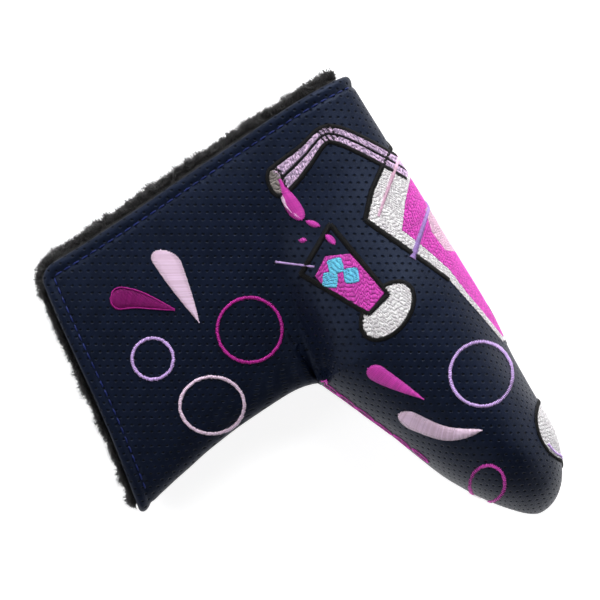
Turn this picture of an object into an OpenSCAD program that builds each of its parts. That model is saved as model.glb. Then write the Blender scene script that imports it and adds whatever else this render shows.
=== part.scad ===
// Soft cover for the head of a blade putter: a padded boot with a head pocket and an open neck.
// The cover lies on its back panel. X runs from the sole edge along the neck, Y runs from the
// heel edge to the toe, and Z points out of the embroidered front panel.

/* [Outline] */
// Length of the sole edge, from the heel edge to the toe
sole_len = 148; // [140:1:156]
// Length of the heel edge, from the sole corner to the neck corner
heel_len = 112; // [108:1:116]
// Distance from the sole edge to the far corner of the neck
neck_reach = 126; // [122:1:130]
// Width of the neck, from the heel edge to its inner edge
neck_w = 75; // [72:1:78]
// Width of the head pocket at the inner elbow
pocket_w = 57; // [54:1:60]

/* [Thickness] */
// Thickness of the head pocket over the putter head
pocket_t = 40; // [36:1:44]
// Thickness of the pocket at the heel edge
heel_t = 20; // [19:1:22]
// Thickness of the neck over the shaft
neck_t = 22; // [21:0.5:24]
// Height of the widest line, where front and back panels meet
seam_z = 10; // [9.5:0.5:11]

/* [Layers] */
// Thickness of the perforated outer sheet
outer_sheet = 1.2; // [1:0.1:1.4]
// Thickness of the foam interlining
foam = 2.4; // [2:0.1:2.6]
// Thickness of the plush lining with its pile pressed flat
plush = 2.8; // [2.4:0.1:3]
// How far the plush shows past the hemmed edges
plush_lip = 3; // [2:0.5:4]
// Width of the hem that is turned in at the open edges
hem_w = 6; // [5:0.5:7]
// Height of the embroidery above the outer sheet
thread_h = 0.5; // [0.4:0.1:0.6]

/* [Flaps] */
// How far each flap folds outwards
flap_open = 50; // [30:5:60]
// Where the fold line of the flaps starts on the heel edge
fold_start = 6; // [5:0.5:8]
// Where the fold line of the flaps ends, measured from the heel edge
fold_end = 72; // [70:0.5:74]
// Gap between a flap and the pocket along the fold line
fold_gap = 0.3; // [0.2:0.1:0.5]

/* [Stitches and closure] */
// Distance of the hem stitches from the open edges
stitch_inset = 4; // [3:0.5:5]
// Spacing of the hem stitches
stitch_pitch = 3.2; // [2.8:0.2:4]
// Length of one hem stitch
stitch_len = 2.4; // [2:0.2:2.6]
// Width of the hem thread
stitch_w = 0.7; // [0.5:0.1:0.9]
// Diameter of each closing magnet
magnet_d = 12; // [10:0.5:13]
// Thickness of each closing magnet
magnet_h = 1.2; // [1:0.1:1.3]
// Width of an embroidered ring line
ring_line = 1.1; // [0.9:0.1:1.4]
// Width of the black outlines
outline_w = 1.2; // [1:0.1:1.5]

/* [Hidden] */

ring_n = 28;             // points round each cross-section
top_power = 2.2;         // how square the front of a cross-section is
base_power = 3.2;        // how square its back is, which is flatter
base_sink = 0.5;         // how much of the back is pressed flat
toe_x = 18.5;            // where the tip of the toe lies across the pocket
toe_start = 110;         // where the pocket starts to close towards the toe
sole_turn = 118;         // where the sole edge starts to turn round the toe
inner_turn = 130;        // where the inner edge of the pocket starts to turn round the toe
elbow_y = 77;            // where the inner elbow lies along the sole
inner_slope = 0.425;     // how fast the pocket narrows past the elbow
hidden_slope = 0.19;     // how fast it narrows under the neck
full_y = 85;             // where the pocket reaches its full thickness
neck_start = 24;         // the neck's first section, inside the pocket
neck_low = -12;          // the neck's sections reach past the heel edge, where they are cut
neck_flare = 8.6;        // how much wider the neck is at its open end
neck_trim = 1;           // how far its straight inner edge lies inside neck_w
flare_start = 75;        // where the neck starts to widen
neck_lift = 1;           // how far the neck's end lifts off the surface below
lift_start = 85;         // where it starts to lift
corner_r = 5;            // radius of the neck's free corner
past_neck = 95;          // clear of the neck's inner edge
past_end = 152;          // clear of the neck's open end
neck_step = 16;          // spacing of the neck's cross-sections
ring_step = 20;          // spacing of the pocket's, from one before the heel edge
last_straight = 100;     // to the last one before the toe closes
toe_step = 11;           // degrees between those round the toe
hem_thread = 0.4;        // height of the hem stitches above the outer sheet
stitch_start = 3;        // where the stitches along the heel edge start and end, from its corners
corner_gap = 4;          // how far past the corner those along the neck's end start
wall = outer_sheet + foam + plush;
hem_in = outer_sheet + foam;
seam_band = 3;           // half the width of the closing seam's turned edges
seam_x = 14;             // the closing seam starts this far in from the sole edge
seam_toe = 136;          // beyond this it runs right round the toe
thread_low = 2.5;        // embroidery that wraps over the sole edge ends at this height
oval_step = 7;           // spacing of the ovals along the inner edge
oval_inset = 1.9;        // how far their centres lie inside it
far = 300;
fold_angle = atan(fold_end / (neck_reach - fold_start));
end_excess = 0.6;        // the neck's corner passes the lip by more than the thread passes the sole edge
centre_x = (neck_reach + plush_lip + end_excess) / 2;
centre_y = (sole_len - plush_lip) / 2;
magnet_at = [96, 14.6];  // centre of each magnet in plan
magnet_tilt = 6;         // slope of the front flap at the magnet
pouch_d = magnet_d + 3;
pouch_h = magnet_h + 0.6;
closure_drop = 3.15;     // depth of the front magnet's centre below the top of the neck
slack = 0.2;             // clearance round the magnets and their pouches
pouch_clear = 6;         // height of the pouches' holes, right through the foam

navy = [0.11, 0.14, 0.22];
charcoal = [0.16, 0.16, 0.17];
foam_grey = [0.55, 0.56, 0.58];
blue = [0.12, 0.22, 0.60];
magenta = [0.75, 0.24, 0.67];
pale_pink = [0.93, 0.78, 0.88];
lilac = [0.78, 0.67, 0.88];
off_white = [0.88, 0.85, 0.89];
black = [0.05, 0.05, 0.06];
cyan = [0.42, 0.80, 0.92];
steel = [0.70, 0.71, 0.73];

// ---- shape of the cover ----

function sgn(v) = v < 0 ? -1 : 1;
function clamp(v) = min(max(v, 0), 1);
function ease(v) = clamp(v) * clamp(v) * (3 - 2 * clamp(v));
function round_end(v) = sqrt(max(1 - clamp(v) * clamp(v), 0));

// One closed cross-section: half_w to each side, up above and down below the widest line
function section(half_w, up, down) = [
    for (k = [0:ring_n - 1])
        let (a = 360 * k / ring_n, c = cos(a), s = sin(a), p = s >= 0 ? top_power : base_power)
        [half_w * sgn(c) * pow(abs(c), 2 / p), (s >= 0 ? up : -down) * pow(abs(s), 2 / p)]
];

// Sole edge and inner edge of the pocket at y, for a surface lying inset below the outside
function sole_x(y, inset) =
    inset + (toe_x - inset) * (1 - round_end((y - sole_turn) / (sole_len - sole_turn - inset)));
function straight_inner_x(y) =
    y > elbow_y ? pocket_w - inner_slope * (y - elbow_y) : pocket_w - hidden_slope * (elbow_y - y);
function inner_x(y, inset) =
    let (edge = straight_inner_x(y) - inset)
    edge - (edge - toe_x) * (1 - round_end((y - inner_turn) / (sole_len - inner_turn - inset)));
function pocket_height(y) = heel_t + (pocket_t - heel_t) * ease(y / full_y);
function toe_close(y, inset) = round_end((y - toe_start) / (sole_len - toe_start - inset));

function pocket_ring(y, inset) =
    let (
        low = sole_x(y, inset),
        high = inner_x(y, inset),
        close = toe_close(y, inset),
        up = (pocket_height(y) - seam_z - inset) * close,
        down = (seam_z + base_sink - inset) * close
    )
    [for (q = section((high - low) / 2, up, down)) [(low + high) / 2 + q.x, y, seam_z + q.y]];

function neck_edge(x) =
    neck_w - neck_trim + neck_flare * pow(max(x - flare_start, 0) / (neck_reach - flare_start), 2);
function neck_ring(x, inset) =
    let (
        low = neck_low + inset,
        high = neck_edge(x) - inset,
        rise = neck_lift * pow(max(x - lift_start, 0) / (neck_reach - lift_start), 2),
        up = neck_t - seam_z - inset,
        down = seam_z + base_sink - rise - inset
    )
    [for (q = section((high - low) / 2, up, down)) [x, (low + high) / 2 + q.x, seam_z + q.y]];

function pocket_rings(inset) = concat(
    [for (y = [-ring_step:ring_step:last_straight]) pocket_ring(y, inset)],
    [for (a = [0:toe_step:88]) pocket_ring(toe_start + (sole_len - toe_start - inset) * sin(a), inset)]
);
function neck_rings(inset) = [for (x = [neck_start:neck_step:past_end]) neck_ring(x, inset)];

// A skin over a row of convex cross-sections
module loft(rings) {
    for (i = [0:len(rings) - 2])
        hull() polyhedron(concat(rings[i], rings[i + 1]), [[for (k = [0:2 * ring_n - 1]) k]]);
}

// The whole boot, inset below its outside, with its back pressed flat
module boot(inset) {
    intersection() {
        union() {
            loft(pocket_rings(inset));
            loft(neck_rings(inset));
        }
        translate([-far / 2, -far / 2, inset]) cube(far);
    }
}

// ---- regions in plan ----

// Puts the origin under the middle of the whole cover
module centred() {
    translate([-centre_x, -centre_y, 0]) children();
}

function neck_end_x(y) = heel_len + (neck_reach - heel_len) * y / neck_w;

// Everything inside the two open edges, moved in by inset
module plan_inside(inset) {
    slant = atan((neck_reach - heel_len) / neck_w);
    cx = neck_end_x(inset + corner_r) - (inset + corner_r) / cos(slant);
    arc = [for (a = [-90:15:-slant]) [cx + corner_r * cos(a), inset + corner_r * (1 + sin(a))]];
    linear_extrude(far)
        polygon(concat(
            [[-far, inset]],
            arc,
            [[neck_end_x(past_neck) - inset / cos(slant), past_neck], [far / 4, far], [-far, far]]
        ));
}

// The side of the fold line that holds the flaps, or the pocket
module flap_side(z0, h) {
    translate([fold_start, 0, z0])
        rotate([0, 0, fold_angle])
            translate([-far / 2, -far - fold_gap / 2, 0])
                cube([far, far, h]);
}
module pocket_side() {
    translate([fold_start, 0, -1])
        rotate([0, 0, fold_angle])
            translate([-far / 2, fold_gap / 2, 0])
                cube([far, far, far]);
}
module front_flap_side() {
    flap_side(seam_z + fold_gap / 2, far);
}
module back_flap_side() {
    flap_side(-1, seam_z + 1 - fold_gap / 2);
}

// A layer of the wall between two insets, ending edge inside the open edges
module layer(outside, inside, edge) {
    intersection() {
        difference() {
            boot(outside);
            boot(inside);
        }
        plan_inside(edge);
    }
}
module hem_layer() {
    difference() {
        layer(outer_sheet, hem_in, 0);
        plan_inside(hem_w);
    }
}

// ---- outer sheet ----

module outer_pocket() {
    color(navy) centred() intersection() {
        layer(0, outer_sheet, 0);
        pocket_side();
    }
}
module outer_front_flap() {
    color(navy) centred() intersection() {
        layer(0, outer_sheet, 0);
        front_flap_side();
    }
}
module outer_back_flap() {
    color(navy) centred() intersection() {
        layer(0, outer_sheet, 0);
        back_flap_side();
    }
}

// ---- closing seam and foam ----

// The band along the inner edges and the toe where the sheet's edges turn in
module seam_zone() {
    translate([seam_x, -far / 2, seam_z - seam_band]) cube([far, far, 2 * seam_band]);
    translate([-far / 2, seam_toe, seam_z - seam_band]) cube([far, far, 2 * seam_band]);
}
module closing_seam() {
    color(navy) centred() intersection() {
        layer(outer_sheet, hem_in, hem_w);
        pocket_side();
        seam_zone();
    }
}
module foam_pocket(z0, h) {
    color(foam_grey) centred() difference() {
        intersection() {
            layer(outer_sheet, hem_in, hem_w);
            pocket_side();
            translate([-far / 2, -far / 2, z0]) cube([far, far, h]);
        }
        seam_zone();
    }
}
module foam_front_pocket() {
    foam_pocket(seam_z, far);
}
module foam_back_pocket() {
    foam_pocket(-1, seam_z + 1);
}
module foam_front_flap() {
    color(foam_grey) centred() difference() {
        intersection() {
            layer(outer_sheet, hem_in, hem_w);
            front_flap_side();
        }
        front_closure() cylinder(d = pouch_d + 2 * slack, h = pouch_clear, center = true, $fn = 32);
    }
}
module foam_back_flap() {
    color(foam_grey) centred() difference() {
        intersection() {
            layer(outer_sheet, hem_in, hem_w);
            back_flap_side();
        }
        back_closure() cylinder(d = pouch_d + 2 * slack, h = pouch_clear, center = true, $fn = 32);
    }
}

// ---- plush lining ----

module lining_pocket() {
    color(charcoal) centred() intersection() {
        layer(hem_in, wall, -plush_lip);
        pocket_side();
    }
}
module lining_front_flap() {
    color(charcoal) centred() intersection() {
        layer(hem_in, wall, -plush_lip);
        front_flap_side();
    }
}
module lining_back_flap() {
    color(charcoal) centred() intersection() {
        layer(hem_in, wall, -plush_lip);
        back_flap_side();
    }
}

// ---- hems and their stitches ----

module hem_corners() {
    color(navy) centred() intersection() {
        hem_layer();
        pocket_side();
    }
}
module hem_front_flap() {
    color(navy) centred() intersection() {
        hem_layer();
        front_flap_side();
    }
}
module hem_back_flap() {
    color(navy) centred() intersection() {
        hem_layer();
        back_flap_side();
    }
}
module stitch() {
    translate([-stitch_len / 2, -stitch_w / 2]) square([stitch_len, stitch_w]);
}
module stitch_lines() {
    slant = atan((neck_reach - heel_len) / neck_w);
    for (x = [stitch_start:stitch_pitch:heel_len - stitch_inset - stitch_start])
        translate([x, stitch_inset]) stitch();
    for (y = [stitch_inset + corner_gap:stitch_pitch * cos(slant):neck_w])
        translate([neck_end_x(y) - stitch_inset / cos(slant), y]) rotate(90 - slant) stitch();
}
// Thread that follows the outside wherever the plan shape lies over it
module thread(height) {
    intersection() {
        difference() {
            boot(-height);
            boot(0);
        }
        translate([0, 0, -1]) linear_extrude(far) children();
    }
}
module stitches_corners() {
    color(blue) centred() intersection() {
        thread(hem_thread) stitch_lines();
        pocket_side();
    }
}
module stitches_front_flap() {
    color(blue) centred() intersection() {
        thread(hem_thread) stitch_lines();
        front_flap_side();
    }
}
module stitches_back_flap() {
    color(blue) centred() intersection() {
        thread(hem_thread) stitch_lines();
        back_flap_side();
    }
}

// ---- closing magnets ----

// Places its children in the middle of the foam of a flap
module front_closure() {
    translate([magnet_at.x, magnet_at.y, neck_t - closure_drop]) rotate([magnet_tilt, 0, 0]) children();
}
module back_closure() {
    translate([magnet_at.x, magnet_at.y, outer_sheet + foam / 2]) children();
}
module magnet() {
    color(steel) cylinder(d = magnet_d, h = magnet_h, center = true, $fn = 48);
}
module magnet_pouch() {
    color(charcoal) difference() {
        cylinder(d = pouch_d, h = pouch_h, center = true, $fn = 48);
        cylinder(d = magnet_d + slack, h = magnet_h + 0.1, center = true, $fn = 48);
    }
}
module magnet_front() {
    centred() front_closure() magnet();
}
module magnet_back() {
    centred() back_closure() magnet();
}
module magnet_pouch_front() {
    centred() front_closure() magnet_pouch();
}
module magnet_pouch_back() {
    centred() back_closure() magnet_pouch();
}

// ---- embroidery: flat shapes in plan ----

module ring(r) {
    difference() {
        circle(r + ring_line / 2, $fn = 36);
        circle(r - ring_line / 2, $fn = 36);
    }
}
// A teardrop from a round head to a point
module drop(head, r, tip) {
    hull() {
        translate(head) circle(r, $fn = 20);
        translate(tip) circle(0.3, $fn = 6);
    }
}
module straw_shape(grow) {
    mouth = [36.6, 17];
    bend = [14.4, 13.9];
    cup_end = [-3, 31];
    hull() {
        translate(mouth) circle(3.4 + grow, $fn = 20);
        translate(bend) circle(2.2 + grow, $fn = 20);
    }
    hull() {
        translate(bend) circle(2.2 + grow, $fn = 20);
        translate(cup_end) circle(2.2 + grow, $fn = 20);
    }
}
module tumbler_shape(grow) {
    offset(delta = grow) polygon([[42.8, 43.9], [27.5, 36.6], [23.7, 64.4], [32.9, 66.9]]);
}
module drink_shape() {
    polygon([[41.2, 48], [27.6, 43], [24.7, 63.4], [32.4, 65.6]]);
}
module ice_shape() {
    for (c = [[33, 47.6, 10], [37, 51.4, 35], [30.2, 53.4, 20]])
        translate([c.x, c.y]) rotate(c.z) square(4.2, center = true);
}
module cup_shape(grow) {
    offset(delta = grow) polygon([[-9, 24], [19.4, 46.7], [4, 92], [-9, 92]]);
}
module cup_drink_shape() {
    polygon([[-9, 46], [9, 50], [3.6, 88], [-9, 88]]);
}
module crossed_straws_shape() {
    hull() {
        translate([-3, 29]) circle(0.8, $fn = 12);
        translate([13.5, 41.5]) circle(0.8, $fn = 12);
    }
    hull() {
        translate([-3, 52]) circle(1.2, $fn = 12);
        translate([11, 63]) circle(1.2, $fn = 12);
    }
}

// ---- embroidery: sub-parts ----

module pocket_thread(c) {
    color(c) centred() intersection() {
        thread(thread_h) children();
        pocket_side();
        translate([-far / 2, -far / 2, thread_low]) cube(far);
    }
}
module flap_thread(c) {
    color(c) centred() intersection() {
        thread(thread_h) children();
        front_flap_side();
    }
}
module magenta_ring() {
    pocket_thread(magenta) translate([66.7, 51.5]) ring(10.6);
}
module pink_ring() {
    pocket_thread(pale_pink) translate([89, 65]) ring(9.3);
}
module lilac_ring_neck() {
    flap_thread(lilac) translate([97.3, 43.4]) ring(7);
}
module lilac_ring_pocket() {
    pocket_thread(lilac) translate([12.1, 104]) ring(9.6);
}
module magenta_ring_toe() {
    pocket_thread(magenta) translate([28, 131]) scale([1, 1.15]) ring(5);
}
module magenta_drop_neck() {
    flap_thread(magenta) drop([95.6, 22.1], 3.3, [83.4, 33.9]);
}
module pink_drop_neck() {
    flap_thread(pale_pink) drop([78.6, 19.6], 3.5, [79, 41]);
}
module magenta_drop_pocket() {
    pocket_thread(magenta) drop([38.9, 83.9], 3.3, [31.6, 98.3]);
}
module pink_drop_pocket() {
    pocket_thread(pale_pink) drop([36, 103.5], 3.6, [22, 115.5]);
}
module straw_fill() {
    pocket_thread(lilac) difference() {
        straw_shape(0);
        cup_shape(outline_w);
    }
}
module straw_outline() {
    pocket_thread(black) difference() {
        straw_shape(outline_w);
        straw_shape(0);
        cup_shape(outline_w);
    }
}
module poured_drops() {
    pocket_thread(magenta) {
        drop([34.4, 28.2], 2, [35.4, 22.6]);
        translate([32.8, 33.8]) circle(0.9, $fn = 12);
        translate([39.5, 36.4]) circle(0.8, $fn = 12);
        translate([25, 34]) circle(0.9, $fn = 12);
    }
}
module tumbler_outline() {
    pocket_thread(black) difference() {
        tumbler_shape(outline_w);
        tumbler_shape(0);
    }
}
module tumbler_drink() {
    pocket_thread(magenta) difference() {
        intersection() {
            drink_shape();
            tumbler_shape(0);
        }
        ice_shape();
    }
}
module ice_cubes() {
    pocket_thread(cyan) intersection() {
        ice_shape();
        tumbler_shape(0);
    }
}
module coaster() {
    pocket_thread(off_white) difference() {
        translate([28, 68.5]) scale([1.6, 1]) circle(6, $fn = 32);
        tumbler_shape(outline_w);
    }
}
module cup_outline() {
    pocket_thread(black) difference() {
        cup_shape(outline_w);
        cup_shape(0);
    }
}
module cup_wall() {
    pocket_thread(off_white) difference() {
        cup_shape(0);
        cup_drink_shape();
        crossed_straws_shape();
    }
}
module cup_drink() {
    pocket_thread(magenta) difference() {
        cup_drink_shape();
        crossed_straws_shape();
    }
}
module crossed_straws() {
    pocket_thread(pale_pink) intersection() {
        crossed_straws_shape();
        cup_shape(0);
    }
}
module toe_disc() {
    pocket_thread(off_white) translate([2, 129]) circle(7, $fn = 32);
}
module oval_row() {
    intersection() {
        pocket_thread(magenta) for (y = [elbow_y + 2:oval_step:elbow_y + 2 + 4 * oval_step])
            translate([straight_inner_x(y) - oval_inset, y]) rotate(23) difference() {
                scale([1, 1.4]) circle(2.2, $fn = 20);
                scale([1, 1.6]) circle(1.3, $fn = 20);
            }
        translate([-far / 2, -far / 2, seam_z + 0.5]) cube(far);
    }
}

outer_pocket();
outer_front_flap();
outer_back_flap();
foam_front_pocket();
foam_back_pocket();
foam_front_flap();
foam_back_flap();
lining_pocket();
lining_front_flap();
lining_back_flap();
hem_corners();
hem_front_flap();
hem_back_flap();
stitches_corners();
stitches_front_flap();
stitches_back_flap();
closing_seam();
magnet_front();
magnet_back();
magnet_pouch_front();
magnet_pouch_back();
magenta_ring();
pink_ring();
lilac_ring_neck();
lilac_ring_pocket();
magenta_ring_toe();
magenta_drop_neck();
pink_drop_neck();
magenta_drop_pocket();
pink_drop_pocket();
straw_fill();
straw_outline();
poured_drops();
tumbler_outline();
tumbler_drink();
ice_cubes();
coaster();
cup_outline();
cup_wall();
cup_drink();
crossed_straws();
toe_disc();
oval_row();
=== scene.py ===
"""Looks of a soft cover for a blade putter: perforated sheet over foam, plush lining, embroidery.

Lengths are in millimetres in plan: x from the sole edge along the neck, y from the heel edge to
the toe, z up from the surface the cover lies on. to_row() turns them into metres in the frame.
"""

import math

import bpy
import numpy as np
from mathutils import Matrix, Vector, noise
from mathutils.bvhtree import BVHTree


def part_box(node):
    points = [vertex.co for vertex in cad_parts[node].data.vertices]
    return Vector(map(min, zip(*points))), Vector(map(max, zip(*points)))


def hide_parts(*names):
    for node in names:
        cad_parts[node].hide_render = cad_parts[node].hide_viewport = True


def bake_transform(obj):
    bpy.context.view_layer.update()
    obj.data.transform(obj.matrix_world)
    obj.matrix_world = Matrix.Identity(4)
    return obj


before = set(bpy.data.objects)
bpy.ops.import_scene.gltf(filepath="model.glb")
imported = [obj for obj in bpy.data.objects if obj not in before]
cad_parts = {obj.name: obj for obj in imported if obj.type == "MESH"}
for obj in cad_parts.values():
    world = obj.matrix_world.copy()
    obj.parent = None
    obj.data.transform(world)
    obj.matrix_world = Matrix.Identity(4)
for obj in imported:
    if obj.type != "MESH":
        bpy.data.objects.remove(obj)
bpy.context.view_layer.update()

MM = 0.001
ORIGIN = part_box("outer_pocket")[0]  # the sole and heel corner, on the surface below

# ---- sizes, as in the part ----
SOLE_LEN = 148.0
HEEL_LEN = 112.0
NECK_REACH = 126.0
NECK_W = 75.0
POCKET_W = 57.0
POCKET_T = 40.0
HEEL_T = 20.0
NECK_T = 22.0
SEAM_Z = 10.0
SHEET_T = 1.0
FOAM_IN = 1.3
FOAM_T = 2.1
FOAM_EDGE = 7.0
LINING_IN = 3.7
LINING_T = 2.4
LIP_HEEL = 2.0
LIP_END = 0.9
STITCH_INSET = 4.1
STITCH_PITCH = 3.2
ROLL_R = 1.4
FOLD_START = 6.0
FOLD_END = 72.0
BLEND = 8.0

TOP_POWER = 2.2
BASE_POWER = 3.2
BASE_SINK = 0.5
TOE_X = 18.5
TOE_START = 110.0
SOLE_TURN = 118.0
INNER_TURN = 130.0
ELBOW_Y = 77.0
INNER_SLOPE = 0.425
HIDDEN_SLOPE = 0.19
FULL_Y = 85.0
NECK_START = 24.0
NECK_LOW = -12.0
NECK_FLARE = 7.9
FLARE_START = 70.0
NECK_LIFT = 1.0
LIFT_START = 85.0
CORNER_R = 5.0
SLANT = math.atan((NECK_REACH - HEEL_LEN) / NECK_W)
UNION_POWER = 6.0

# ---- where the soft outline strays from those sizes ----
SOLE_FULL = 0.7
SOLE_DRAWN = 1.9
HEEL_FULL = 1.7
HEEL_HOLLOW = 3.0
END_FULL = 1.3
END_HOLLOW = 3.1
TOE_BOW = 1.2
TOE_BOW_Y = 121.0

# ---- mesh steps ----
PANEL_STEP = 1.3
FOAM_STEP = 2.0
PLUSH_STEP = 1.0
OPEN_STEP = 0.5  # near an open edge
TURN_REACH = 10.0  # how far in a turned-down side's closer places go
TOE_RINGS = 38.0  # rings round the toe, times the step
FLAT_X = 12.0  # where the flat sheet's x is the plan's
FLAT_FROM = 0.62  # the share of a grid past which its turned side is measured
BACK_FLAT = -30.0  # where the back's flat sheet starts, clear of the front's

rng = np.random.default_rng(7)


def to_row(points):
    """Plan millimetres to metres in the row frame."""
    return np.asarray(points, float) * MM + np.array(ORIGIN)


# ---- shape of the cover ----


def ease(v):
    v = np.clip(v, 0, 1)
    return v * v * (3 - 2 * v)


def round_end(v):
    return np.sqrt(np.maximum(1 - np.clip(v, 0, 1) ** 2, 0))


def bulge(t, power):
    return (1 - np.clip(np.abs(t), 0, 1) ** power) ** (1 / power)


def sole_edge(y, inset=0.0):
    """The fold along the sole, a little full at the heel and drawn in towards the toe."""
    turn = round_end((y - SOLE_TURN) / (SOLE_LEN - SOLE_TURN - inset))
    low = inset - SOLE_FULL + SOLE_DRAWN * ease((y - 78) / 30)
    return low + (TOE_X - low) * (1 - turn)


def heel_line(x):
    """How far the heel's open edge bows from straight."""
    return HEEL_HOLLOW * ease((x - 15) / 90) - HEEL_FULL + 0.8 * np.maximum(1 - x / 15, 0) ** 2


def straight_inner(y):
    """The pocket's inner edge past the elbow, and where it runs on under the neck."""
    past = y - ELBOW_Y
    return POCKET_W - np.where(past > 0, INNER_SLOPE * past, -HIDDEN_SLOPE * past)


def inner_edge(y, inset=0.0):
    edge = straight_inner(y) - inset + TOE_BOW * np.exp(-(((y - TOE_BOW_Y) / 9) ** 2))
    turn = round_end((y - INNER_TURN) / (SOLE_LEN - INNER_TURN - inset))
    return edge - (edge - TOE_X) * (1 - turn)


def neck_side(x):
    """The neck's inner edge, with the elbow's small fillet."""
    flare = NECK_FLARE * (np.maximum(x - FLARE_START, 0) / (NECK_REACH - FLARE_START)) ** 2
    fillet = (ELBOW_Y - NECK_W) * np.exp(-np.maximum(x - POCKET_W, 0) / 4)
    return NECK_W + flare + fillet


def neck_end(y):
    """The neck's open end, a little full at the heel corner and hollow below it."""
    return HEEL_LEN + (NECK_REACH - HEEL_LEN) * y / NECK_W + END_FULL - END_HOLLOW * ease(y / 65)


def height(x, y, inset, front):
    """z of the front or the back surface lying inset below the outside."""
    power = TOP_POWER if front else BASE_POWER
    low, high = sole_edge(y, inset), inner_edge(y, inset)
    across = bulge((2 * x - low - high) / np.maximum(high - low, 1e-6), power)
    toe = round_end((y - TOE_START) / (SOLE_LEN - TOE_START - inset))
    neck_lo, neck_hi = NECK_LOW + inset, neck_side(x) - inset
    along = bulge((2 * y - neck_lo - neck_hi) / (neck_hi - neck_lo), power)
    along = along * bulge(np.clip(1 - (x - low) / NECK_START, 0, 1), power) * (y <= neck_hi + 1e-6)
    if front:
        pocket = HEEL_T + (POCKET_T - HEEL_T) * ease(y / FULL_Y) - SEAM_Z
        neck = NECK_T - SEAM_Z
    else:
        pocket = SEAM_Z + BASE_SINK
        neck = pocket - NECK_LIFT * (np.maximum(x - LIFT_START, 0) / (NECK_REACH - LIFT_START)) ** 2
    pocket, neck = (pocket - inset) * across * toe, (neck - inset) * along
    rise = (pocket**UNION_POWER + neck**UNION_POWER) ** (1 / UNION_POWER)
    return SEAM_Z + rise if front else np.maximum(SEAM_Z - rise, inset)


def open_distance(x, y):
    """Distance from the open edges, round the free corner."""
    a, b = y - heel_line(x), (neck_end(y) - x) * math.cos(SLANT)
    corner = CORNER_R - np.hypot(CORNER_R - a, CORNER_R - b)
    return np.where((a < CORNER_R) & (b < CORNER_R), corner, np.minimum(a, b))


# ---- meshes ----


def open_stops(count):
    """Places from an open edge inwards."""
    return [OPEN_STEP * k for k in range(count + 1)]


def turned_stops(count):
    """Places from a turned-down side inwards, closer together towards it."""
    return [TURN_REACH * (k / count) ** TOP_POWER for k in range(count + 1)]


def stops(length, step, start=(0.0,), end=(0.0,)):
    """Places from 0 to length, a step apart between those given for its start and its end."""
    start, end = list(start), [length - place for place in reversed(end)]
    n = max(1, round((end[0] - start[-1]) / step))
    middle = [start[-1] + (end[0] - start[-1]) * k / n for k in range(1, n)]
    return np.array(start + middle + end)


def vertex_normals(points, faces):
    quads = np.array([f if len(f) == 4 else (*f, f[-1]) for f in faces])
    a, b, c, d = (points[quads[:, k]] for k in range(4))
    cross = np.cross(c - a, d - b)
    total = np.zeros_like(points)
    for k in range(4):
        np.add.at(total, quads[:, k], cross)
    return total / np.maximum(np.linalg.norm(total, axis=1, keepdims=True), 1e-12)


def grid_quads(ids, flip=False):
    """The faces of a grid of point numbers."""
    quads = np.stack([ids[:-1, :-1], ids[:-1, 1:], ids[1:, 1:], ids[1:, :-1]], -1).reshape(-1, 4)
    return (quads[:, ::-1] if flip else quads).tolist()


def lengths(points, axis):
    """The lengths of a grid's steps along an axis."""
    return np.linalg.norm(np.diff(points, axis=axis), axis=-1)


def run_along(line):
    """How far along a line each of its points is."""
    return np.concatenate([[0], np.cumsum(lengths(line, 0))])


def unit(vectors):
    return vectors / np.maximum(np.linalg.norm(vectors, axis=-1, keepdims=True), 1e-9)


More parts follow.
